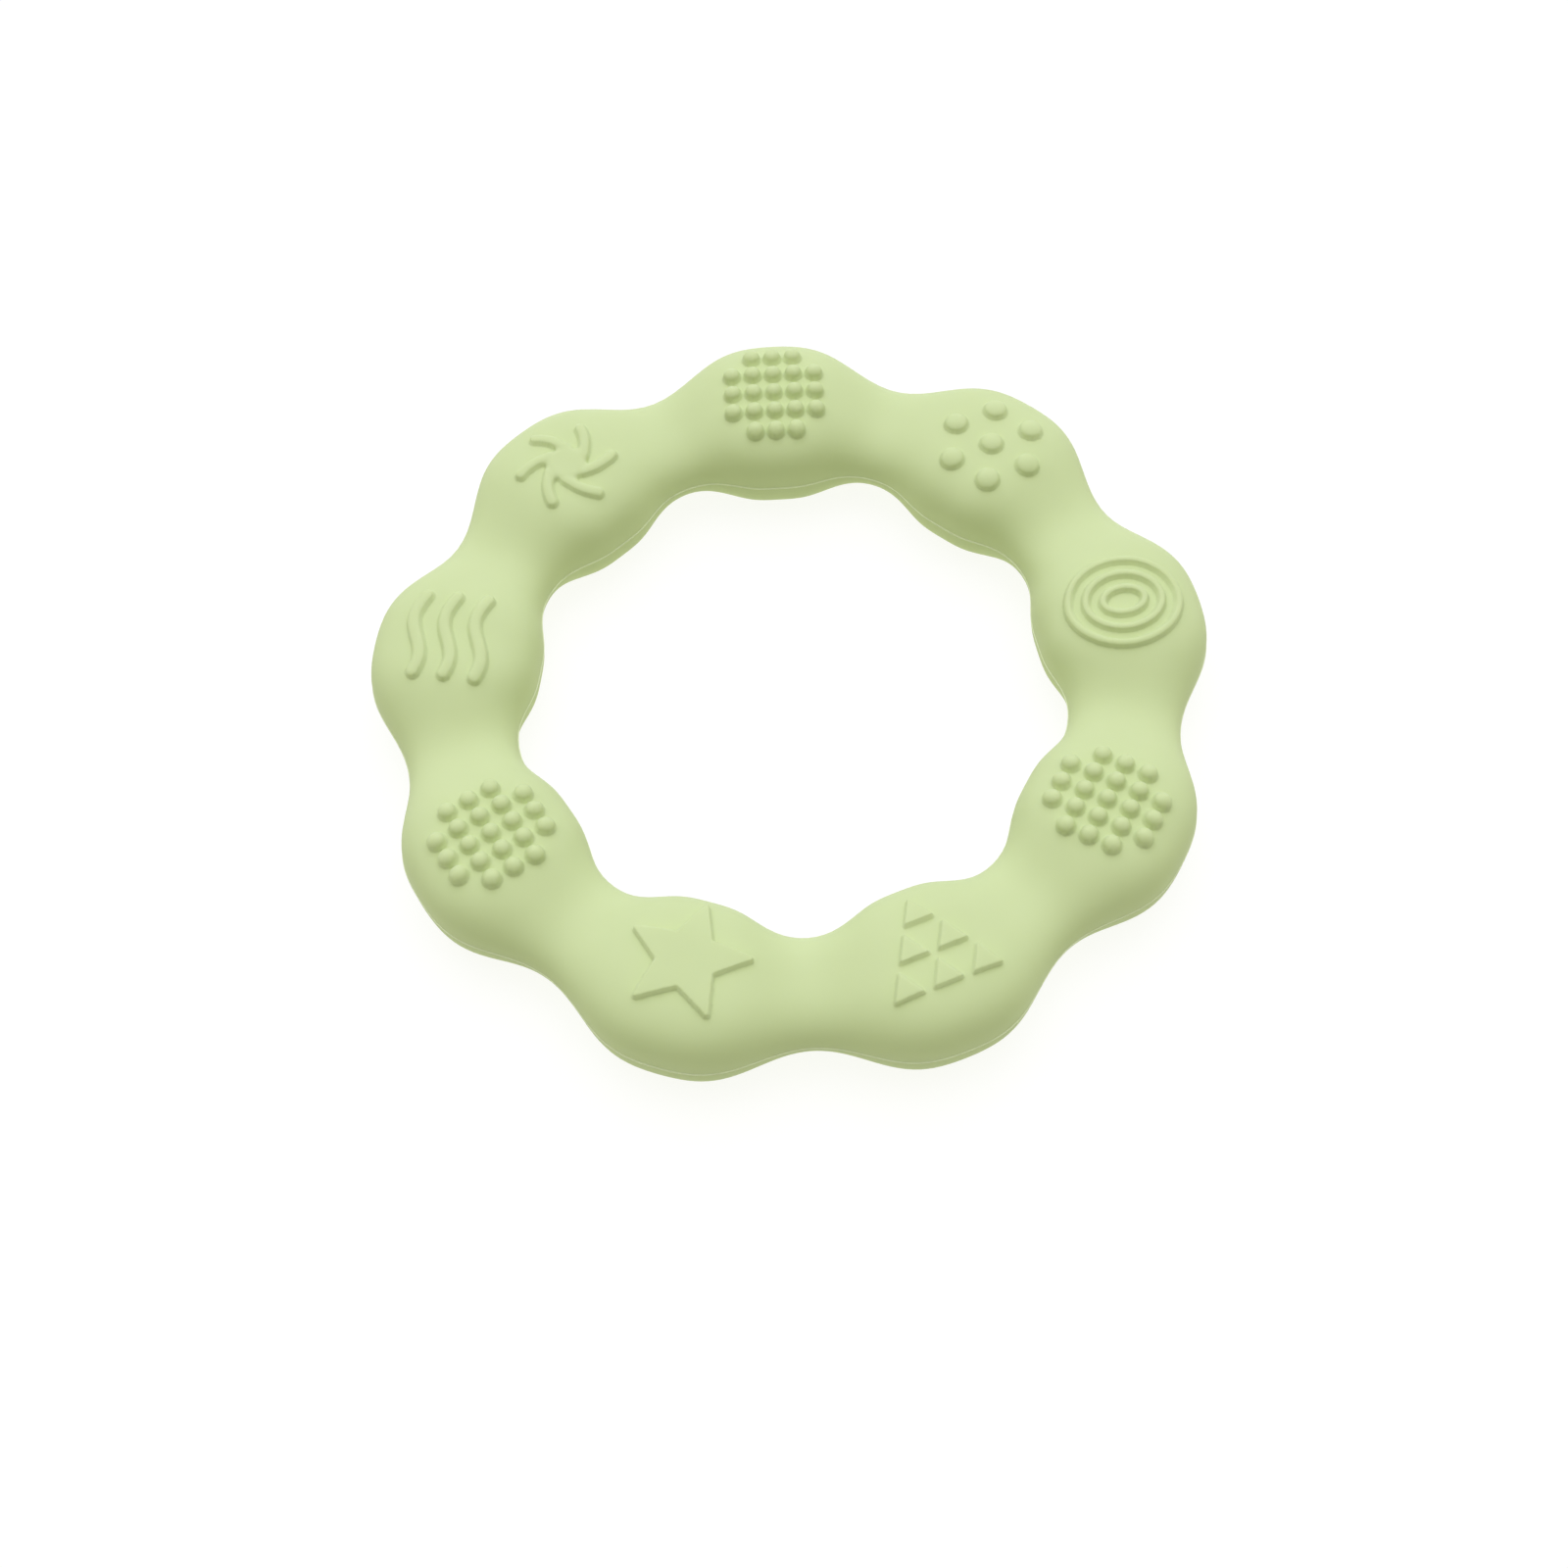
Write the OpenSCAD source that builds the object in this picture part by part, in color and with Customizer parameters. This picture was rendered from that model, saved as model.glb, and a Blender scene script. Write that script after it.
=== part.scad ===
// Teething ring: two hollow silicone half shells, bonded face to face along an
// outer and an inner seam.  Nine rounded lobes run round the ring, and each
// carries one raised pattern on its upper side.
// The origin is on the ring's axis, in the plane of the seam.  +Y points at
// the first lobe, and the lobes count anticlockwise seen from above.

/* [Ring] */
// Radius of the circle that the lobes' middles lie on
pitch_r = 44.06; // [43:0.01:46]
// Width of a lobe, from the inner seam to the outer seam
lobe_w = 21.88; // [21:0.01:23]
// Width of the neck between two lobes
neck_w = 14.3; // [13:0.1:16]
// Height of a lobe's raised side over the seam plane
lobe_top_h = 6.9; // [6.5:0.05:7.5]
// Depth of a lobe's plain side under the seam plane
lobe_base_h = 6.35; // [6:0.05:7.5]
// Thickness of a neck
neck_t = 9; // [8.6:0.1:11]
// How far the necks' middles lie inside the pitch circle
neck_in = 0.93; // [0:0.01:2]

/* [Shells] */
// Wall thickness of both shells
wall = 3; // [2:0.1:3.4]
// Thickness of the bond between the two shells
seam_t = 0.3; // [0.2:0.05:0.6]
// How far the bond's bead stands out of the wall
bead = 0.12; // [0.08:0.01:0.4]
// Depth of the flat that each lobe rests on
pad_cut = 0.2; // [0.1:0.05:0.4]

/* [Nub patches] */
// Distance between nubs along the ring
nub_pitch_x = 2.78; // [2.7:0.01:2.9]
// Distance between nubs across the ring
nub_pitch_y = 3.05; // [2.9:0.01:3.2]
// Diameter of a nub
nub_d = 2.5; // [2:0.1:2.6]
// Height of a nub
nub_h = 1.3; // [0.8:0.1:1.6]

/* [Domes] */
// Distance between neighbouring domes
dome_pitch = 5.75; // [5:0.05:5.8]
// Diameter of a dome
dome_d = 3.3; // [2.8:0.1:4.2]
// Height of a dome
dome_h = 1; // [0.6:0.1:1.4]
// How far the domes' middle lies clockwise of the lobe's middle
dome_shift = 0.5; // [0:0.1:0.6]

/* [Waves] */
// Width of a wave
wave_w = 1.9; // [1.5:0.1:2.1]
// Distance between waves
wave_pitch = 4; // [3.6:0.1:4.2]
// Length of one full swing of a wave
wave_l = 12.2; // [10:0.1:13]
// Swing of a wave to each side
wave_swing = 0.85; // [0.5:0.05:1.1]

/* [Rings] */
// Width of a ring rib
ring_w = 1.2; // [1:0.1:1.4]
// Distance between ring ribs
ring_pitch = 2.2; // [2:0.02:2.3]
// Half length of the inmost ring, along the lobe
ring_rx = 1.9; // [1.6:0.05:2.2]
// Half length of the inmost ring, across the lobe
ring_ry = 2.75; // [2.2:0.05:3]
// How far the rings' middle lies clockwise of the lobe's middle
ring_shift = 0.52; // [0:0.01:0.6]

/* [Pinwheel] */
// Number of arms of the pinwheel
arms = 6; // [5:1:7]
// Width of a pinwheel arm
arm_w = 1.7; // [1.4:0.1:1.9]
// Distance from the pinwheel's centre to the end of an arm
arm_r = 6.2; // [5:0.1:6.5]
// Radius of the pinwheel's hub
hub_r = 2.7; // [2.3:0.1:2.8]
// Angle that an arm swings through on its way out
arm_sweep = 40; // [30:1:50]

/* [Raised plates] */
// Radius of the circle through the star's tips
star_r = 8.65; // [7:0.05:8.8]
// Radius of the circle through the star's notches
star_notch_r = 4.05; // [3.2:0.05:4.5]
// Rounding of the star's tips
tip_round = 0.45; // [0.2:0.05:0.6]
// Side of a triangle
tri_side = 4.4; // [3.5:0.1:4.6]
// Distance between triangles in a row
tri_pitch_x = 5.1; // [4.8:0.05:5.4]
// Distance between rows of triangles
tri_pitch_y = 4.4; // [4.2:0.05:4.8]

/* [Pattern heights] */
// Height of the waves, ring ribs and pinwheel
rib_h = 0.75; // [0.4:0.05:0.9]
// Height of the star and the triangles
plate_h = 0.7; // [0.4:0.05:0.8]

/* [Colours] */
// Silicone of the shells
silicone_colour = "#C7D59E"; // ["#C7D59E":Sage, "#E3B7AE":Blush, "#C9C3B4":Stone, "#A9C4CF":Mist]
// Bond between the shells
bond_colour = "#D3DFAE"; // ["#D3DFAE":Sage, "#EAC7C0":Blush, "#D6D1C4":Stone, "#BCD2DA":Mist]

/* [Hidden] */

// The patterns are laid out for nine lobes
lobes = 9;

// Each half's lobe height, and how square its section is at a lobe and at a
// neck, where 2 is an ellipse
TOP_HALF = [lobe_top_h, 3.15, 2.45];
BASE_HALF = [lobe_base_h, 3, 2.15];

// Ripples in step with twice and three times the lobes: of the width, which
// rounds the lobes' sides off, of the middle line, and of the crowns' height
width_ripple = -0.19;
width_ripple_3 = -0.09;
mid_ripple = -0.12;
crown_ripple = -0.36;

// Stations round the ring for each lobe, and steps over a section
lobe_steps = 12;
stations = lobes * lobe_steps;
outside_steps = 12;
cavity_steps = 5;

// Bead's width and height at its shoulders, as shares of the seam and the bead
bead_shoulder = [0.6, 0.8];

// Facets round a rib, a nub, a dome and a star's tip, and how far the facets of
// nubs, domes and the hub are turned, so that none lines up with its neighbour's
rib_fn = 8;
nub_fn = 8;
dome_fn = 12;
tip_fn = 24;
facet_turn = 12;

// Steps along a wave and an arm, and round the inmost ring and each next one
wave_steps = 8;
arm_steps = 4;
ring_steps = 12;
ring_more_steps = 6;

// How far the waves reach to each side, where one crosses its own line, and how
// far outwards that line lies
wave_span = [-6, 5.6];
wave_shift = -0.9;
wave_out = 0.4;
// Angle of the first arm's root, and the power of the swing, where less than 1
// swings an arm more near the hub
arm_start = 172;
swing_power = 0.72;
// Middle of the star, and how far the triangles are moved along and outwards
star_middle = [-0.35, -0.65];
tri_shift = 0.05;
tri_out = 0.4;

// Steps of a raised plate's top, half the width that it covers, and how deep a
// plate reaches into the wall
plate_steps = 10;
plate_half = 9.5;
plate_root = 1;
// Height that the plates' outlines are cut from
plate_tall = 12;

// Ring shape.  The angle runs from a lobe's middle, so all are even in it.
function blend(lobe_value, neck_value, a) =
    (lobe_value + neck_value) / 2 + (lobe_value - neck_value) / 2 * cos(lobes * a);
function mid_r(a) =
    blend(pitch_r, pitch_r - neck_in, a) + mid_ripple * (cos(2 * lobes * a) - 1);
function half_w(a) =
    blend(lobe_w, neck_w, a) / 2
    + width_ripple * (cos(2 * lobes * a) - 1)
    + width_ripple_3 * (cos(3 * lobes * a) - cos(lobes * a));
function half_h(a, half) =
    blend(half[0], neck_t / 2, a) + crown_ripple * (cos(2 * lobes * a) - 1);
function squareness(a, half) = blend(half[1], half[2], a);

function sign_pow(v, e) = sign(v) * pow(abs(v), e);
// Point of a half's section at angle a, t degrees round it, inset from the outside
function section_point(a, t, half, inset = 0) =
    let (e = 2 / squareness(a, half))
    [mid_r(a) + (half_w(a) - inset) * sign_pow(cos(t), e),
     (half_h(a, half) - inset) * sign_pow(sin(t), e)];

// Height of the raised side over the seam plane, x along and y across a lobe
function top_z(x, y) =
    let (r = norm([x, y + pitch_r]))
    let (a = atan2(x, y + pitch_r))
    let (p = squareness(a, TOP_HALF))
    let (u = min(1, abs(r - mid_r(a)) / half_w(a)))
    half_h(a, TOP_HALF) * pow(1 - pow(u, p), 1 / p);

// Half shell's section: over the outside, then back round the cavity
function shell_section(a, half) = concat(
    [for (i = [0 : outside_steps])
        let (p = section_point(a, 180 * i / outside_steps, half))
        [p.x, max(p.y, seam_t / 2)]],
    [for (i = [cavity_steps : -1 : 0])
        let (p = section_point(a, 180 * i / cavity_steps, half, wall))
        [p.x, max(p.y, seam_t / 2)]]);

// Bond's section: flat between the rims, with a round bead outside
function seam_section(rim, side) =
    let (s = side * seam_t / 2)
    let (shoulder_z = s * bead_shoulder[0])
    let (shoulder_r = rim + side * bead * bead_shoulder[1])
    [[rim - side * wall, -s], [rim, -s], [shoulder_r, -shoulder_z],
     [rim + side * bead, 0], [shoulder_r, shoulder_z], [rim, s],
     [rim - side * wall, s]];

// Closed sweep of a list of sections round the ring's axis
module ring_sweep(sections) {
    n = len(sections);
    m = len(sections[0]);
    points = [for (i = [0 : n - 1], p = sections[i])
        let (a = 360 * i / n)
        [-p.x * sin(a), p.x * cos(a), p.y]];
    faces = [for (i = [0 : n - 1], j = [0 : m - 1])
        let (i2 = (i + 1) % n)
        let (j2 = (j + 1) % m)
        [i * m + j, i * m + j2, i2 * m + j2, i2 * m + j]];
    tris = [for (f = faces, t = [[f[0], f[1], f[2]], [f[0], f[2], f[3]]]) t];
    polyhedron(points, tris, convexity = 10);
}

// Hollow half shell above the seam plane, its crown cut flat by crown_cut
module half_shell(half, crown_cut = 0) {
    ring_sweep([for (i = [0 : stations - 1])
        [for (p = shell_section(360 * i / stations, half))
            [p.x, min(p.y, half[0] - crown_cut)]]]);
}

// Places a pattern on lobe k, with x along the ring and y outwards
module on_lobe(k) {
    rotate([0, 0, 360 * k / lobes])
        translate([0, pitch_r, 0])
            children();
}

// Round boss of diameter d that stands h above the surface
module boss(x, y, d, h, fn) {
    translate([x, y, top_z(x, y)])
        rotate([0, 0, facet_turn])
            scale([1, 1, 2 * h / d])
                sphere(d = d, $fn = fn);
}

// Rounded rib along a path
module rib(path, w) {
    for (i = [0 : len(path) - 2]) {
        hull() {
            rib_bead(path[i], w);
            rib_bead(path[i + 1], w);
        }
    }
}

module rib_bead(p, w) {
    translate([p.x, p.y, top_z(p.x, p.y) - w / 2 + rib_h])
        sphere(d = w, $fn = rib_fn);
}

// Flat plate whose top follows the surface, plate_h above it
module plate() {
    n = plate_steps;
    step = 2 * plate_half / n;
    grid = [for (i = [0 : n], j = [0 : n])
        let (x = -plate_half + i * step)
        let (y = -plate_half + j * step)
        [x, y, top_z(x, y)]];
    count = len(grid);
    points = concat(
        [for (p = grid) p + [0, 0, plate_h]],
        [for (p = grid) p - [0, 0, plate_root]]);
    cells = [for (i = [0 : n - 1], j = [0 : n - 1]) i * (n + 1) + j];
    rim = concat(
        [for (j = [0 : n - 1]) j],
        [for (i = [0 : n - 1]) i * (n + 1) + n],
        [for (j = [n : -1 : 1]) n * (n + 1) + j],
        [for (i = [n : -1 : 1]) i * (n + 1)]);
    rims = len(rim);
    faces = concat(
        [for (c = cells, t = [[c, c + 1, c + n + 2], [c, c + n + 2, c + n + 1]]) t],
        [for (c = cells, t = [[c + n + 2, c + 1, c], [c + n + 1, c + n + 2, c]])
            [for (v = t) v + count]],
        [for (i = [0 : rims - 1])
            let (a = rim[i])
            let (b = rim[(i + 1) % rims])
            each [[b, a, a + count], [b, a + count, b + count]]]);
    intersection() {
        polyhedron(points, faces, convexity = 4);
        linear_extrude(plate_tall, convexity = 8)
            children();
    }
}

module nub_patch() {
    for (i = [-2 : 2], j = [-2 : 2]) {
        if (abs(i) + abs(j) < 4)
            boss(i * nub_pitch_x, j * nub_pitch_y, nub_d, nub_h, nub_fn);
    }
}

module dome_patch() {
    boss(dome_shift, 0, dome_d, dome_h, dome_fn);
    for (a = [0 : 60 : 300]) {
        boss(dome_shift + dome_pitch * cos(a), dome_pitch * sin(a), dome_d, dome_h, dome_fn);
    }
}

// Three ring ribs, a little longer across the lobe than along it
module ring_patch() {
    for (k = [0 : 2]) {
        rx = ring_rx + k * ring_pitch;
        ry = ring_ry + k * ring_pitch;
        n = ring_steps + k * ring_more_steps;
        rib([for (i = [0 : n])
            [ring_shift + rx * cos(360 * i / n), ry * sin(360 * i / n)]], ring_w);
    }
}

module wave_patch() {
    for (k = [-1 : 1]) {
        rib([for (i = [0 : wave_steps])
            let (x = wave_span[0] + (wave_span[1] - wave_span[0]) * i / wave_steps)
            let (swing = wave_swing * sin(360 * (x - wave_shift) / wave_l))
            [x, k * wave_pitch + wave_out + swing]], wave_w);
    }
}

// Flat hub, and arms that start at its rim and swing round as they go out
module pinwheel_patch() {
    for (k = [0 : arms - 1]) {
        rib([for (i = [0 : arm_steps])
            let (f = i / arm_steps)
            let (r = hub_r + (arm_r - hub_r) * f)
            let (a = arm_start + 360 * k / arms + arm_sweep * pow(f, swing_power))
            [r * cos(a), r * sin(a)]], arm_w);
    }
    translate([0, 0, top_z(0, 0) - plate_root])
        rotate([0, 0, facet_turn])
            cylinder(r = hub_r, h = plate_root + rib_h, $fn = tip_fn);
}

module star_patch() {
    plate()
        translate(star_middle)
            offset(r = tip_round, $fn = tip_fn)
                offset(delta = -tip_round)
                    polygon([for (i = [0 : 9])
                        let (r = i % 2 == 0 ? star_r : star_notch_r)
                        [r * cos(36 * i - 90), r * sin(36 * i - 90)]]);
}

// Rows of three, two and one triangle, all pointing at the ring's centre
module triangle_patch() {
    plate()
        for (row = [0 : 2], i = [0 : 2 - row])
            translate([(i - 1 + row / 2) * tri_pitch_x + tri_shift, (1 - row) * tri_pitch_y + tri_out])
                polygon([[-tri_side / 2, 0], [0, -tri_side * sin(60)], [tri_side / 2, 0]]);
}

module upper_shell() {
    color(silicone_colour) {
        half_shell(TOP_HALF);
        for (k = [0, 3, 6]) {
            on_lobe(k) nub_patch();
        }
        on_lobe(1) pinwheel_patch();
        on_lobe(2) wave_patch();
        on_lobe(4) star_patch();
        on_lobe(5) triangle_patch();
        on_lobe(7) ring_patch();
        on_lobe(8) dome_patch();
    }
}

module lower_shell() {
    color(silicone_colour)
        rotate([0, 180, 0])
            half_shell(BASE_HALF, pad_cut);
}

module outer_seam() {
    color(bond_colour)
        ring_sweep([for (i = [0 : stations - 1])
            let (a = 360 * i / stations)
            seam_section(mid_r(a) + half_w(a), 1)]);
}

module inner_seam() {
    color(bond_colour)
        ring_sweep([for (i = [0 : stations - 1])
            let (a = 360 * i / stations)
            seam_section(mid_r(a) - half_w(a), -1)]);
}

upper_shell();
lower_shell();
outer_seam();
inner_seam();
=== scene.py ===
"""Teething ring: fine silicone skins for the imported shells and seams, on a pale studio floor.

The ring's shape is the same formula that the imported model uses. Every skin is one closed mesh swept round the
ring's axis, and the upper one is pushed out along its own normals by nine raised patterns, one on each lobe.
Angles run anticlockwise from +Y, and each lobe has a plan of its own: x along the ring, y outwards.
"""
import math

import bpy
import numpy as np
from mathutils import Matrix, Vector


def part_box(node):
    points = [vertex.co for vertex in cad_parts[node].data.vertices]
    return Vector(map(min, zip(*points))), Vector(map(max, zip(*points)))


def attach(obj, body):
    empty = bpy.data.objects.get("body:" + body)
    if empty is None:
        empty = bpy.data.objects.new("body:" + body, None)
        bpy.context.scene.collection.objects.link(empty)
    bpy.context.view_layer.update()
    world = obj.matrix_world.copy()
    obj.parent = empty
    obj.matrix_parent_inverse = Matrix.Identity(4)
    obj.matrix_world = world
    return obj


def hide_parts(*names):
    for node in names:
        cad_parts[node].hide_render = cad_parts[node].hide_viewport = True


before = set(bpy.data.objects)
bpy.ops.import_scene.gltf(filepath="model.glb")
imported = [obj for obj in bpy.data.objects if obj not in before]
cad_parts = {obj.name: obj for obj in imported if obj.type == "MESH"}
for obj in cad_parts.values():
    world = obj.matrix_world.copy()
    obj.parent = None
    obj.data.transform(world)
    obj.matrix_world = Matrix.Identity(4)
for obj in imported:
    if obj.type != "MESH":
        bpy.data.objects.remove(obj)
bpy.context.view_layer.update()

# ---------------------------------------------------------------- driving dimensions
# One millimetre in the frame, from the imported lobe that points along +Y and reaches 55 mm out.
LOBE_REACH_MM = 55.0
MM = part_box("upper_shell")[1].y / LOBE_REACH_MM
FLOOR_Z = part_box("lower_shell")[0].z

LOBES = 9
PITCH_R = 44.06
LOBE_W, NECK_W = 21.88, 14.3
NECK_IN = 0.93
# Ripples that make the lobes fuller and the necks shorter than a plain wave would
RIPPLE_2, RIPPLE_3, MID_RIPPLE, CROWN_RIPPLE = -0.19, -0.09, -0.12, -0.36
# Each half's height at a lobe and a neck, and its squareness there: 2 is an ellipse
TOP_HALF = {"lobe_h": 6.9, "neck_h": 4.5, "lobe_sq": 3.15, "neck_sq": 2.45}
BASE_HALF = {"lobe_h": 6.35, "neck_h": 4.5, "lobe_sq": 3.0, "neck_sq": 2.15}
WALL = 3.0
SEAM_T = 0.3
BEAD = 0.12
# The bead's swelling and thinning round the ring: share of its height, waves round the ring and phase
BEAD_WANDER = [(0.12, 7, 1.3), (0.08, 23, 0.4)]
# Depth of the flats that the ring rests on, and how far above it their edges start to round off
PAD_Z = -FLOOR_Z / MM
PAD_EDGE = 0.08

# Mesh steps: the patterns need a fine grid, the necks and sides a coarse one
FINE = 0.2
NECK_STEPS = 11
TOP_SHARE = 0.86
SIDE_STEPS = 9
CAVITY_STEPS = 6
PLAIN_STEPS_ROUND, PLAIN_STEPS_ACROSS = 45, 24
SEAM_STEPS_ROUND, BEAD_POINTS = 60, 9
# Angle from one lobe to the next, a small step for slopes, a distance past everything, and what keeps
# a division away from zero
LOBE_TURN = 2 * math.pi / LOBES
NUDGE = 1e-4
FAR = 1e9
TINY = 1e-12


# ---------------------------------------------------------------- the ring's shape, in millimetres
def blend(lobe_value, neck_value, a):
    """A value that swings from its lobe value to its neck value and back, round the ring."""
    return (lobe_value + neck_value) / 2 + (lobe_value - neck_value) / 2 * np.cos(LOBES * a)


def mid_r(a):
    """Radius of the middle of the ring's body."""
    return blend(PITCH_R, PITCH_R - NECK_IN, a) + MID_RIPPLE * (np.cos(2 * LOBES * a) - 1)


def half_w(a):
    """Half the width of the ring's body."""
    plain = blend(LOBE_W / 2 - RIPPLE_2, NECK_W / 2 - RIPPLE_2, a)
    sides = RIPPLE_3 * (np.cos(3 * LOBES * a) - np.cos(LOBES * a))
    return plain + RIPPLE_2 * np.cos(2 * LOBES * a) + sides


def section(a, v, half, inset=0.0):
    """Radius and height of a half's surface at share v of its width, from 1 outside to -1 inside."""
    p = blend(half["lobe_sq"], half["neck_sq"], a)
    crown = blend(half["lobe_h"], half["neck_h"], a) + CROWN_RIPPLE * (np.cos(2 * LOBES * a) - 1)
    height = (1 - np.minimum(np.abs(v), 1) ** p) ** (1 / p)
    return mid_r(a) + (half_w(a) - inset) * v, (crown - inset) * height


def surface(a, v, half, inset=0.0):
    """Points of a half's surface."""
    radius, height = section(a, v, half, inset)
    return np.stack([-radius * np.sin(a), radius * np.cos(a), height], -1)


def surface_normals(a, v, half):
    """Outward normals of a half's surface, from points a little way along and across it."""
    inward = np.where(v > 0, -NUDGE, NUDGE)
    along = surface(a + NUDGE, v, half) - surface(a - NUDGE, v, half)
    across = (surface(a, v + inward, half) - surface(a, v, half)) * np.sign(inward)[..., None]
    normal = np.cross(across, along)
    return normal / (np.linalg.norm(normal, axis=-1, keepdims=True) + TINY)


def stations(fine=True):
    """Angles of the stations round the ring: fine over the patterns, coarse over the necks."""
    if not fine:
        return np.arange(PLAIN_STEPS_ROUND * LOBES) * LOBE_TURN / PLAIN_STEPS_ROUND
    halves = [pattern["reach"] / PITCH_R for pattern in PATTERNS]
    out = []
    for k, half in enumerate(halves):
        count = 2 * round(half * PITCH_R / FINE)
        out.append(k * LOBE_TURN + np.linspace(-half, half, count + 1))
        gap_end = (k + 1) * LOBE_TURN - halves[(k + 1) % LOBES]
        out.append(np.linspace(k * LOBE_TURN + half, gap_end, NECK_STEPS + 1)[1:-1])
    return np.concatenate(out)


def section_shares(fine=True):
    """Shares of the half width from the outer seam to the inner one, even by angle at the sides."""
    count = 2 * round(TOP_SHARE * LOBE_W / 2 / FINE) if fine else PLAIN_STEPS_ACROSS
    top = np.linspace(TOP_SHARE, -TOP_SHARE, count + 1)
    turn = np.linspace(0, math.acos(TOP_SHARE), SIDE_STEPS + 1)[:-1]
    side = np.cos(turn)
    return np.concatenate([side, top, -side[::-1]])


# ---------------------------------------------------------------- raised patterns, on a lobe's plan
# Each pattern is a signed distance to its outline, below 0 inside it.
NUB_PITCH_X, NUB_PITCH_Y, NUB_D = 2.78, 3.05, 2.5
DOME_PITCH, DOME_D, DOME_SHIFT = 5.75, 3.3, 0.5
WAVE_W, WAVE_PITCH, WAVE_L, WAVE_SWING = 1.9, 4.0, 12.2, 0.85
WAVE_START, WAVE_END, WAVE_SHIFT, WAVE_UP = -6.0, 5.6, -0.9, 0.4
RING_W, RING_PITCH, RING_RX, RING_RY, RING_SHIFT = 1.2, 2.2, 1.9, 2.75, 0.52
ARMS, ARM_W, ARM_R, HUB_R = 6, 1.7, 6.2, 2.7
ARM_START, ARM_SWEEP, SWING_POWER = math.radians(172), math.radians(40), 0.72
HUB_FILLET = 0.7
STAR_R, STAR_NOTCH_R, STAR_ROUND = 8.65, 4.05, 0.45
STAR_SHIFT = (-0.35, -0.65)
TRI_SIDE, TRI_PITCH_X, TRI_PITCH_Y, TRI_ROUND, TRI_UP = 4.4, 5.1, 4.4, 0.2, 0.4
# Points along each rib's middle line
RING_POINTS, WAVE_POINTS, ARM_POINTS = 73, 41, 21


def spots(x, y, centres, diameter):
    """Round spots."""
    out = np.full_like(x, FAR)
    for cx, cy in centres:
        out = np.minimum(out, np.hypot(x - cx, y - cy) - diameter / 2)
    return out


def edge_distance(x, y, start, end):
    """Distance to a straight edge."""
    (ax, ay), (bx, by) = start, end
    dx, dy = bx - ax, by - ay
    along = np.clip(((x - ax) * dx + (y - ay) * dy) / (dx * dx + dy * dy), 0, 1)
    return np.hypot(x - ax - along * dx, y - ay - along * dy)


def rib(x, y, path, width):
    """A rib along a path of points."""
    nearest = np.full_like(x, FAR)
    for start, end in zip(path[:-1], path[1:]):
        nearest = np.minimum(nearest, edge_distance(x, y, start, end))
    return nearest - width / 2


def polygon(x, y, corners, rounding):
    """A closed outline with rounded corners."""
    nearest = np.full_like(x, FAR)
    inside = np.zeros(x.shape, bool)
    for (ax, ay), (bx, by) in zip(corners, np.roll(corners, -1, axis=0)):
        nearest = np.minimum(nearest, edge_distance(x, y, (ax, ay), (bx, by)))
        crosses = (ay > y) != (by > y)
        inside ^= crosses & (x < ax + (y - ay) * (bx - ax) / ((by - ay) if by != ay else TINY))
    return np.where(inside, -nearest, nearest) - rounding


def blended(one, other, fillet):
    """Two outlines joined, with a round fillet where they meet."""
    share = np.clip(0.5 + (other - one) / (2 * fillet), 0, 1)
    return other + (one - other) * share - fillet * share * (1 - share)


def nub_patch(x, y):
    """A square of five rows of five nubs without its corners."""
    steps = range(-2, 3)
    centres = [(i * NUB_PITCH_X, j * NUB_PITCH_Y) for i in steps for j in steps if abs(i) + abs(j) < 4]
    return spots(x, y, centres, NUB_D)


def dome_patch(x, y):
    """Six domes round a seventh."""
    turns = [math.radians(60 * k) for k in range(6)]
    centres = [(0, 0)] + [(DOME_PITCH * math.cos(t), DOME_PITCH * math.sin(t)) for t in turns]
    return spots(x - DOME_SHIFT, y, centres, DOME_D)


def ring_patch(x, y):
    """Three oval rings, one inside the other."""
    out = np.full_like(x, FAR)
    turns = np.linspace(0, 2 * math.pi, RING_POINTS)
    for k in range(3):
        rx, ry = RING_RX + k * RING_PITCH, RING_RY + k * RING_PITCH
        path = np.stack([rx * np.cos(turns) + RING_SHIFT, ry * np.sin(turns)], -1)
        out = np.minimum(out, rib(x, y, path, RING_W))
    return out


def wave_patch(x, y):
    """Three waves that run along the ring."""
    out = np.full_like(x, FAR)
    along = np.linspace(WAVE_START, WAVE_END, WAVE_POINTS)
    swing = WAVE_UP + WAVE_SWING * np.sin(2 * math.pi * (along - WAVE_SHIFT) / WAVE_L)
    for k in (-1, 0, 1):
        out = np.minimum(out, rib(x, y, np.stack([along, k * WAVE_PITCH + swing], -1), WAVE_W))
    return out


def pinwheel_patch(x, y):
    """A flat hub and arms that sweep out from it."""
    out = np.hypot(x, y) - HUB_R
    share = np.linspace(0, 1, ARM_POINTS)
    reach = HUB_R + (ARM_R - HUB_R) * share
    for k in range(ARMS):
        turn = ARM_START + 2 * math.pi * k / ARMS + ARM_SWEEP * share ** SWING_POWER
        path = np.stack([reach * np.cos(turn), reach * np.sin(turn)], -1)
        out = blended(out, rib(x, y, path, ARM_W), HUB_FILLET)
    return out


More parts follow.
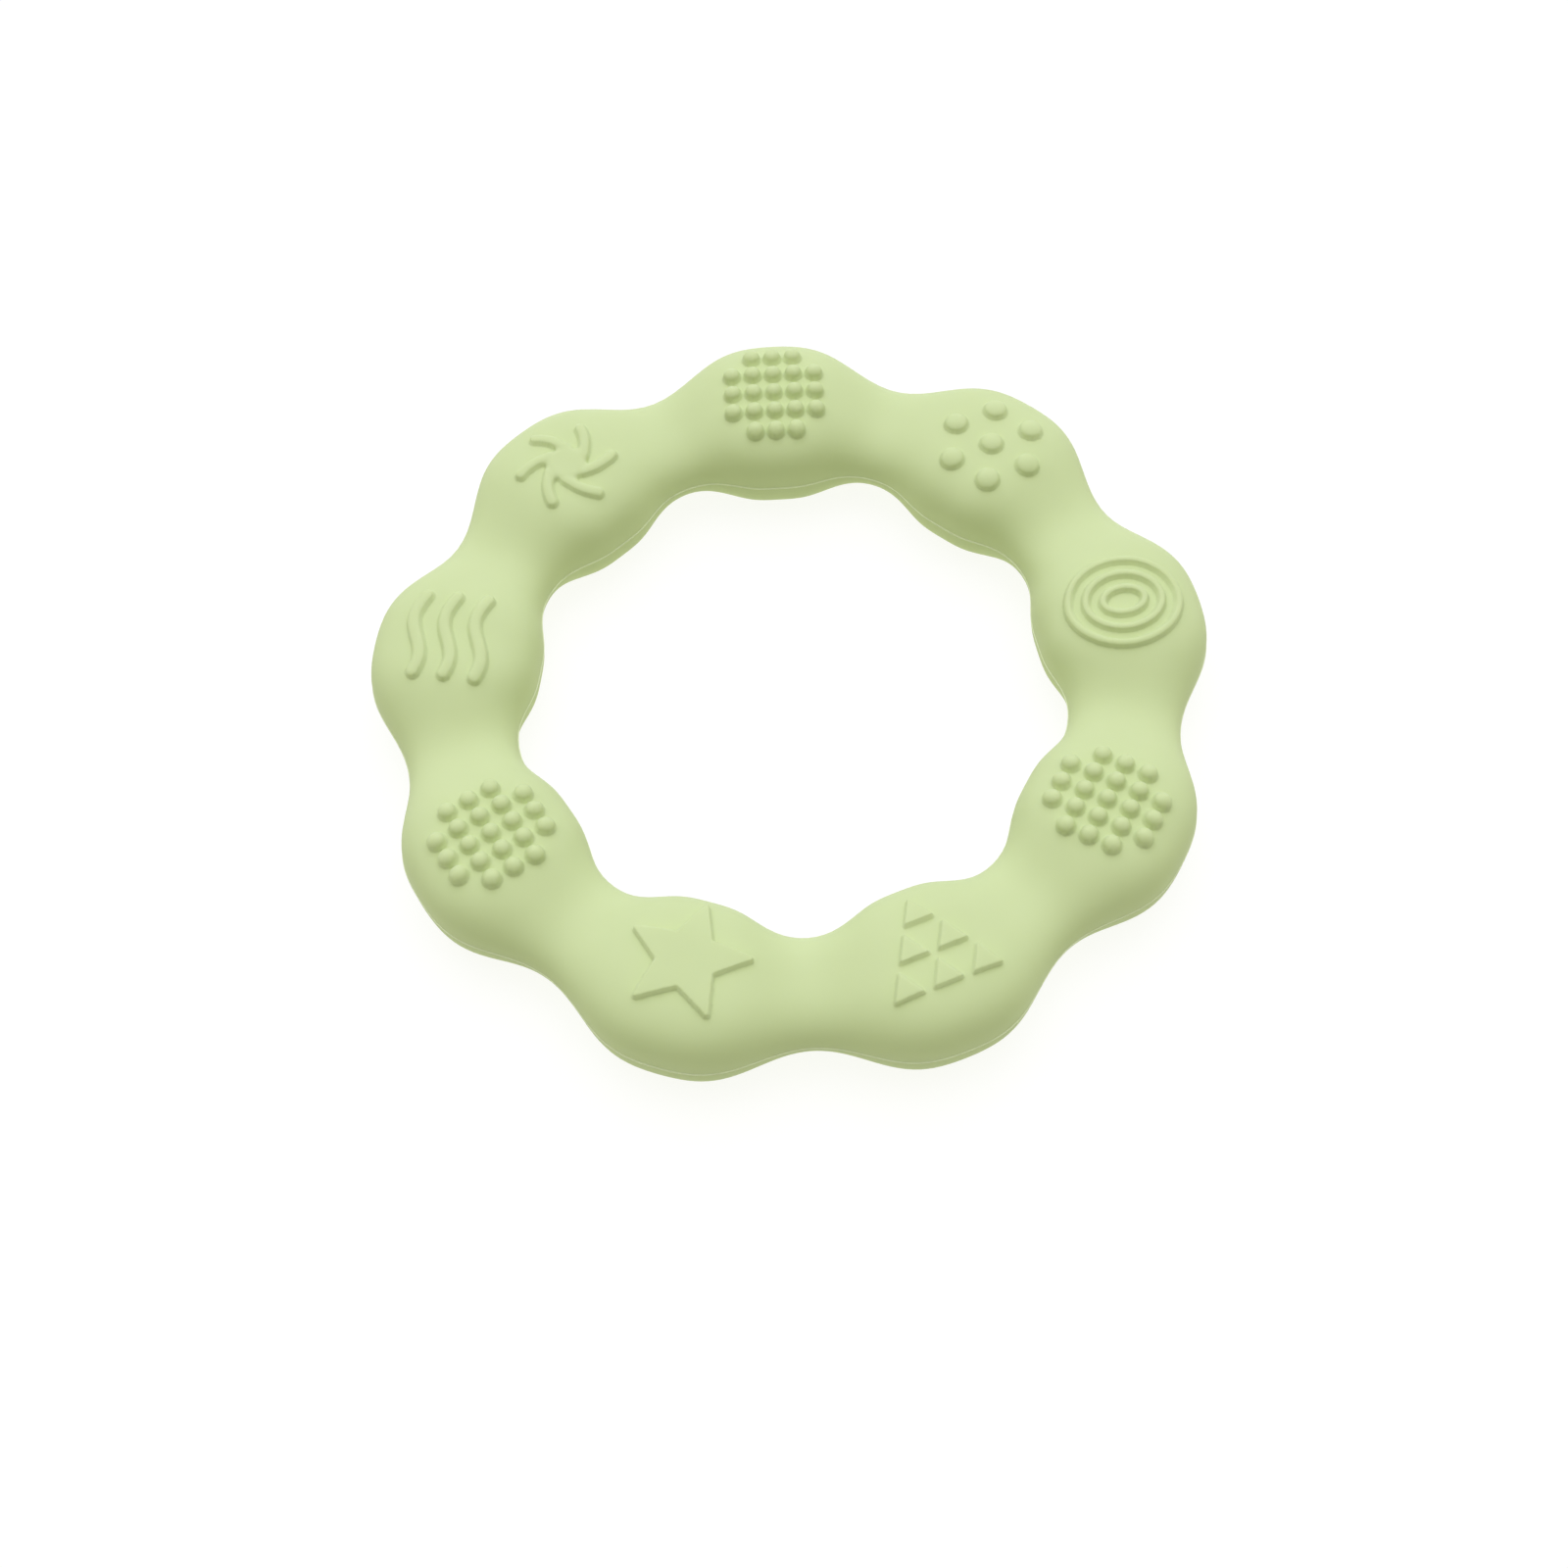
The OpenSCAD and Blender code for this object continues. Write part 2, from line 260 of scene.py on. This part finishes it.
def star_patch(x, y):
    """A five-pointed star. Its corners are drawn in first, and then rounded."""
    edge = math.hypot(STAR_R - STAR_NOTCH_R * math.cos(math.pi / 5), STAR_NOTCH_R * math.sin(math.pi / 5))
    to_edge = STAR_R * STAR_NOTCH_R * math.sin(math.pi / 5) / edge
    shrink = 1 - STAR_ROUND / to_edge
    turns = np.radians(36 * np.arange(10) - 90)
    radii = shrink * np.where(np.arange(10) % 2 == 0, STAR_R, STAR_NOTCH_R)
    corners = np.stack([radii * np.cos(turns), radii * np.sin(turns)], -1) + STAR_SHIFT
    return polygon(x, y, corners, STAR_ROUND)


def triangle_patch(x, y):
    """Rows of three, two and one triangle, all pointing at the ring's centre."""
    out = np.full_like(x, FAR)
    inside_r = TRI_SIDE * math.tan(math.radians(30)) / 2
    corner_r = (1 - TRI_ROUND / inside_r) * TRI_SIDE / math.sqrt(3)
    turns = np.radians([30, 150, 270])
    for row in range(3):
        for i in range(3 - row):
            cx = (i - 1 + row / 2) * TRI_PITCH_X
            cy = (1 - row) * TRI_PITCH_Y - inside_r + TRI_UP
            corners = np.stack([cx + corner_r * np.cos(turns), cy + corner_r * np.sin(turns)], -1)
            out = np.minimum(out, polygon(x, y, corners, TRI_ROUND))
    return out


# Profile of each pattern: its height, how far in from the outline the top is reached, how square the
# shoulder is (a half circle at 0.5, squarer below it), and how far it reaches along the ring
NUBS = {"outline": nub_patch, "height": 1.3, "shoulder": NUB_D / 2, "power": 0.47, "reach": 7.8}
PINWHEEL = {"outline": pinwheel_patch, "height": 0.68, "shoulder": ARM_W / 2, "power": 0.3, "reach": 7.4}
WAVES = {"outline": wave_patch, "height": 0.75, "shoulder": WAVE_W / 2, "power": 0.3, "reach": 8.0}
STAR = {"outline": star_patch, "height": 0.7, "shoulder": 0.3, "power": 0.4, "reach": 9.6}
TRIANGLES = {"outline": triangle_patch, "height": 0.7, "shoulder": 0.3, "power": 0.4, "reach": 7.8}
RINGS = {"outline": ring_patch, "height": 0.7, "shoulder": RING_W / 2, "power": 0.33, "reach": 8.2}
DOMES = {"outline": dome_patch, "height": 1.0, "shoulder": DOME_D / 2, "power": 0.38, "reach": 8.4}
PATTERNS = [NUBS, PINWHEEL, WAVES, NUBS, STAR, TRIANGLES, NUBS, RINGS, DOMES]


def snapped(outline, x, y):
    """Moves grid points that lie near an outline, or one step inside it, straight onto that line."""
    step = 1e-3
    for _ in range(2):
        away = outline(x, y)
        slope_x = (outline(x + step, y) - outline(x - step, y)) / (2 * step)
        slope_y = (outline(x, y + step) - outline(x, y - step)) / (2 * step)
        target = np.where(away > -FINE / 2, 0.0, -FINE)
        move = np.where(np.abs(away - target) <= FINE / 2, away - target, 0.0)
        x, y = x - move * slope_x, y - move * slope_y
    return x, y


def raised(a, v):
    """Grid of angles and shares, snapped to the patterns' outlines, and the rise of each of its points."""
    a, v = np.meshgrid(a, v, indexing="ij")
    rise = np.zeros_like(a)
    lobe = np.round(a / LOBE_TURN).astype(int)
    for k, pattern in enumerate(PATTERNS):
        mine = (lobe % LOBES == k) & (np.abs(v) < TOP_SHARE)
        middle = lobe[mine] * LOBE_TURN
        turn = a[mine] - middle
        radius = mid_r(turn) + half_w(turn) * v[mine]
        x, y = snapped(pattern["outline"], -radius * np.sin(turn), radius * np.cos(turn) - PITCH_R)
        radius, turn = np.hypot(x, y + PITCH_R), -np.arctan2(x, y + PITCH_R)
        inner = np.clip(1 + pattern["outline"](x, y) / pattern["shoulder"], 0, 1)
        rise[mine] = pattern["height"] * (1 - inner ** 2) ** pattern["power"]
        a[mine] = middle + turn
        v[mine] = (radius - mid_r(turn)) / half_w(turn)
    return a, v, rise


# ---------------------------------------------------------------- meshes
def swept_mesh(name, a, radius, height):
    """A closed mesh swept round the ring: row i of radius and height is the closed section at angle a[i]."""
    co = np.stack([-radius * np.sin(a)[:, None], radius * np.cos(a)[:, None], height], -1) * MM
    return mesh_object(name, co.reshape(-1, 3), ring_quads(*radius.shape))


def mesh_object(name, co, quads):
    """A smooth-shaded mesh object, linked to the scene."""
    mesh = bpy.data.meshes.new(name)
    mesh.vertices.add(len(co))
    mesh.vertices.foreach_set("co", co.astype(np.float32).ravel())
    mesh.loops.add(quads.size)
    mesh.loops.foreach_set("vertex_index", quads.astype(np.int32).ravel())
    mesh.polygons.add(len(quads))
    mesh.polygons.foreach_set("loop_start", np.arange(0, quads.size, 4, dtype=np.int32))
    mesh.update(calc_edges=True)
    mesh.validate()
    mesh.polygons.foreach_set("use_smooth", np.ones(len(quads), bool))
    obj = bpy.data.objects.new(name, mesh)
    bpy.context.scene.collection.objects.link(obj)
    return obj


def ring_quads(n, m):
    """Quads of a ring of n closed sections with m points each."""
    i, j = np.arange(n)[:, None], np.arange(m)[None]
    i2, j2 = (i + 1) % n, (j + 1) % m
    return np.stack([i * m + j, i2 * m + j, i2 * m + j2, i * m + j2], -1).reshape(-1, 4)


def sharpen(obj, columns, width):
    """Keeps lengthwise edges of a swept mesh sharp where its section, width points long, turns a corner."""
    mesh = obj.data
    ends = np.empty(2 * len(mesh.edges), np.int32)
    mesh.edges.foreach_get("vertices", ends)
    column = ends.reshape(-1, 2) % width
    sharp = (column[:, 0] == column[:, 1]) & np.isin(column[:, 0], columns)
    mesh.edges.foreach_set("use_edge_sharp", sharp)


def half_shell(name, half, fine):
    """A hollow half shell above the seam, or a mirrored one below it where it isn't fine."""
    edge = SEAM_T / 2
    angles, shares = stations(fine), section_shares(fine)
    if fine:
        a, v, rise = raised(angles, shares)
    else:
        a, v = np.meshgrid(angles, shares, indexing="ij")
        rise = np.zeros_like(a)
    co = surface(a, v, half)
    co[..., 2] = np.maximum(co[..., 2], edge)
    co += surface_normals(a, v, half) * rise[..., None]
    if not fine:
        co[..., 2] = PAD_Z - soft_clip(PAD_Z - co[..., 2])
    cavity_shares = np.cos(np.linspace(math.pi, 0, CAVITY_STEPS + 1))
    cavity = surface(angles[:, None], cavity_shares[None], half, WALL)
    cavity[..., 2] = np.maximum(cavity[..., 2], edge)
    whole = np.concatenate([co, cavity], 1)
    quads = ring_quads(*whole.shape[:2])
    if not fine:
        whole[..., 2] *= -1
        quads = quads[:, ::-1]
    obj = mesh_object(name, (whole * MM).reshape(-1, 3), quads)
    rims = (0, len(shares) - 1, len(shares), whole.shape[1] - 1)
    sharpen(obj, rims, whole.shape[1])
    return obj


def soft_clip(height):
    """Keeps a height over the flats at 0 or more, with a short round edge."""
    rounded = (height + PAD_EDGE) ** 2 / (4 * PAD_EDGE)
    return np.where(height < -PAD_EDGE, 0, np.where(height > PAD_EDGE, height, rounded))


def seam(name, a, side):
    """The bond along one seam: flat between the rims, with a round bead that swells and thins a little."""
    rim = mid_r(a) + side * half_w(a)
    wander = 1 + sum(share * np.sin(waves * a + phase) for share, waves, phase in BEAD_WANDER)
    half = SEAM_T / 2
    level = np.linspace(-half, half, BEAD_POINTS)
    bulge = BEAD * np.cos(math.pi / 2 * level / half)[None] ** 2 * wander[:, None]
    back = rim[:, None] - side * WALL
    radius = np.concatenate([back, rim[:, None] + side * bulge, back], 1)
    height = np.repeat(np.concatenate([[-half], level, [half]])[None], len(a), 0)
    if side < 0:
        radius, height = radius[:, ::-1], height[:, ::-1]
    obj = swept_mesh(name, a, radius, height)
    count = radius.shape[1]
    sharpen(obj, (0, 1, count - 2, count - 1), count)
    return obj


# ---------------------------------------------------------------- materials
# Clouds and grain are noise, so many to the millimetre
CLOUDS_PER_MM, GRAINS_PER_MM = 0.09, 3.0
GRAIN_DEPTH = 0.05
SCATTER_REACH = 2.0
ROUGHNESS = (0.5, 0.64)
SHELL_LIGHT, SHELL_DARK = (0.570, 0.660, 0.312, 1), (0.555, 0.645, 0.301, 1)
# The seam's colours are partly the bond's own paler silicone and partly a painted highlight: they are lifted
# far above the shells' so that the bead shows as a bright line even where it lies in shade.
SEAM_PALE_HIGHLIT_LIGHT, SEAM_PALE_HIGHLIT_DARK = (0.800, 0.885, 0.530, 1), (0.770, 0.855, 0.500, 1)


def node(tree, kind, **values):
    """A new node with some sockets or settings set by name."""
    made = tree.nodes.new(kind)
    for key, value in values.items():
        if key in made.inputs:
            made.inputs[key].default_value = value
        else:
            setattr(made, key, value)
    return made


def silicone(name, light, dark):
    """Matt silicone: faint cloudy colour, a little light through it and a fine moulded grain."""
    mat = bpy.data.materials.new(name)
    mat.use_nodes = True
    tree = mat.node_tree
    link = tree.links.new
    shader = tree.nodes["Principled BSDF"]
    shader.inputs["Specular IOR Level"].default_value = 0.12
    shader.inputs["IOR"].default_value = 1.41
    shader.inputs["Subsurface Weight"].default_value = 0.1
    shader.inputs["Subsurface Radius"].default_value = (1.0, 0.9, 0.5)
    shader.inputs["Subsurface Scale"].default_value = SCATTER_REACH * MM
    place = node(tree, "ShaderNodeTexCoord")
    cloud = node(tree, "ShaderNodeTexNoise", Scale=CLOUDS_PER_MM / MM, Detail=3.0, Roughness=0.5)
    link(place.outputs["Object"], cloud.inputs["Vector"])
    tint = node(tree, "ShaderNodeValToRGB")
    tint.color_ramp.elements[0].position, tint.color_ramp.elements[0].color = 0.3, dark
    tint.color_ramp.elements[1].position, tint.color_ramp.elements[1].color = 0.7, light
    link(cloud.outputs["Fac"], tint.inputs["Fac"])
    link(tint.outputs["Color"], shader.inputs["Base Color"])
    grain = node(tree, "ShaderNodeTexNoise", Scale=GRAINS_PER_MM / MM, Detail=4.0, Roughness=0.6)
    link(place.outputs["Object"], grain.inputs["Vector"])
    rough = node(tree, "ShaderNodeMapRange")
    rough.inputs["To Min"].default_value, rough.inputs["To Max"].default_value = ROUGHNESS
    link(grain.outputs["Fac"], rough.inputs["Value"])
    link(rough.outputs["Result"], shader.inputs["Roughness"])
    bump = node(tree, "ShaderNodeBump", Strength=0.12, Distance=GRAIN_DEPTH * MM)
    link(grain.outputs["Fac"], bump.inputs["Height"])
    link(bump.outputs["Normal"], shader.inputs["Normal"])
    return mat


def dress(obj, mat, cad_node):
    """Gives a skin its material and puts it in its CAD node's place."""
    obj.data.materials.append(mat)
    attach(obj, "root")
    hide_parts(cad_node)


# ---------------------------------------------------------------- camera, light and floor
CAMERA_ELEVATION = math.radians(60.07)
CAMERA_AZIMUTH = math.radians(-0.51)
CAMERA_ROLL = math.radians(-2.7)
CAMERA_DISTANCE = 340.1
CAMERA_AIM = (-1.51, -13.35)
CAMERA_LENS = 61.25
SENSOR_WIDTH = 36


def make_camera():
    """The camera, which looks at a point in the seam's plane and is rolled a little."""
    data = bpy.data.cameras.new("camera")
    data.lens = CAMERA_LENS
    data.sensor_width = SENSOR_WIDTH
    data.clip_start = 10 * MM
    cam = bpy.data.objects.new("camera", data)
    bpy.context.scene.collection.objects.link(cam)
    back = Vector((0, -math.cos(CAMERA_ELEVATION), math.sin(CAMERA_ELEVATION)))
    right = Vector((1, 0, 0))
    up = back.cross(right)
    right_rolled = right * math.cos(CAMERA_ROLL) + up * math.sin(CAMERA_ROLL)
    up_rolled = up * math.cos(CAMERA_ROLL) - right * math.sin(CAMERA_ROLL)
    place = Matrix((right_rolled, up_rolled, back)).transposed().to_4x4()
    place.translation = (Vector((*CAMERA_AIM, 0)) + back * CAMERA_DISTANCE) * MM
    cam.matrix_world = Matrix.Rotation(CAMERA_AZIMUTH, 4, "Z") @ place
    bpy.context.scene.camera = cam


# Soft lamps of the studio dome: where each one stands, its colour and its strength. The one behind the
# ring is the brightest and a little cooler, and the floor glows, so that the shadow on it is faint.
LAMPS = [
    ((0, 0, 1), (1.0, 1.0, 0.9), 1.4),
    ((0, 0.6, 0.8), (1.0, 1.0, 1.45), 1.9),
    ((1, 0, 0.3), (1.0, 1.0, 0.85), 0.55),
    ((-1, 0, 0.3), (1.0, 1.0, 0.85), 0.55),
]
LAMP_TIGHTNESS = 4.0
FLOOR_WHITE = (0.14, 0.14, 0.14, 1)
FLOOR_GLOW, FLOOR_GLOW_COLOUR = 0.88, (1.0, 1.0, 0.97, 1)
# Half the floor's side in metres, and the gap under the ring's flats in millimetres
FLOOR_HALF = 4.0
FLOOR_GAP = 0.1


def make_world():
    """The studio dome. Each lamp fades by a power of the cosine of the angle from its middle."""
    world = bpy.data.worlds.new("studio")
    bpy.context.scene.world = world
    world.use_nodes = True
    tree = world.node_tree
    link = tree.links.new
    place = node(tree, "ShaderNodeTexCoord")
    light = None
    for direction, colour, strength in LAMPS:
        toward = node(tree, "ShaderNodeVectorMath", operation="DOT_PRODUCT")
        toward.inputs[1].default_value = Vector(direction).normalized()
        link(place.outputs["Generated"], toward.inputs[0])
        in_front = node(tree, "ShaderNodeMath", operation="MAXIMUM")
        in_front.inputs[1].default_value = 0.0
        link(toward.outputs["Value"], in_front.inputs[0])
        level = node(tree, "ShaderNodeMath", operation="POWER")
        level.inputs[1].default_value = LAMP_TIGHTNESS
        link(in_front.outputs["Value"], level.inputs[0])
        lamp = node(tree, "ShaderNodeVectorMath", operation="MULTIPLY_ADD")
        lamp.inputs[1].default_value = Vector(colour) * strength
        link(level.outputs["Value"], lamp.inputs[0])
        if light:
            link(light.outputs["Vector"], lamp.inputs[2])
        light = lamp
    link(light.outputs["Vector"], tree.nodes["Background"].inputs["Color"])


def make_floor():
    """A pale floor just under the ring's flats, clear from below so that the underside can be seen."""
    corners = FLOOR_HALF * np.array([(-1, -1), (1, -1), (1, 1), (-1, 1)])
    level = np.full(len(corners), FLOOR_Z - FLOOR_GAP * MM)
    floor = mesh_object("floor", np.column_stack([corners, level]), np.array([[0, 1, 2, 3]]))
    mat = bpy.data.materials.new("floor_white")
    mat.use_nodes = True
    shader = mat.node_tree.nodes["Principled BSDF"]
    shader.inputs["Base Color"].default_value = FLOOR_WHITE
    shader.inputs["Specular IOR Level"].default_value = 0.0
    shader.inputs["Emission Color"].default_value = FLOOR_GLOW_COLOUR
    shader.inputs["Emission Strength"].default_value = FLOOR_GLOW
    side = node(mat.node_tree, "ShaderNodeNewGeometry")
    clear = node(mat.node_tree, "ShaderNodeBsdfTransparent")
    mix = node(mat.node_tree, "ShaderNodeMixShader")
    link = mat.node_tree.links.new
    link(side.outputs["Backfacing"], mix.inputs["Fac"])
    link(shader.outputs["BSDF"], mix.inputs[1])
    link(clear.outputs["BSDF"], mix.inputs[2])
    link(mix.outputs["Shader"], mat.node_tree.nodes["Material Output"].inputs["Surface"])
    floor.data.materials.append(mat)


# ---------------------------------------------------------------- build
seam_angles = np.arange(SEAM_STEPS_ROUND * LOBES) * 2 * math.pi / (SEAM_STEPS_ROUND * LOBES)
upper = half_shell("silicone_upper_shell", TOP_HALF, fine=True)
lower = half_shell("silicone_lower_shell", BASE_HALF, fine=False)
outer = seam("seam_bead_outer", seam_angles, 1)
inner = seam("seam_bead_inner", seam_angles, -1)

shell_silicone = silicone("sage_silicone", SHELL_LIGHT, SHELL_DARK)
# The seam's material has a painted highlight in its base colour, on top of its own paler tone.
seam_silicone = silicone("sage_silicone_seam_painted_highlight", SEAM_PALE_HIGHLIT_LIGHT, SEAM_PALE_HIGHLIT_DARK)
dress(upper, shell_silicone, "upper_shell")
dress(lower, shell_silicone, "lower_shell")
dress(outer, seam_silicone, "outer_seam")
dress(inner, seam_silicone, "inner_seam")

make_floor()
make_world()
make_camera()
bpy.context.scene.view_settings.view_transform = "Standard"
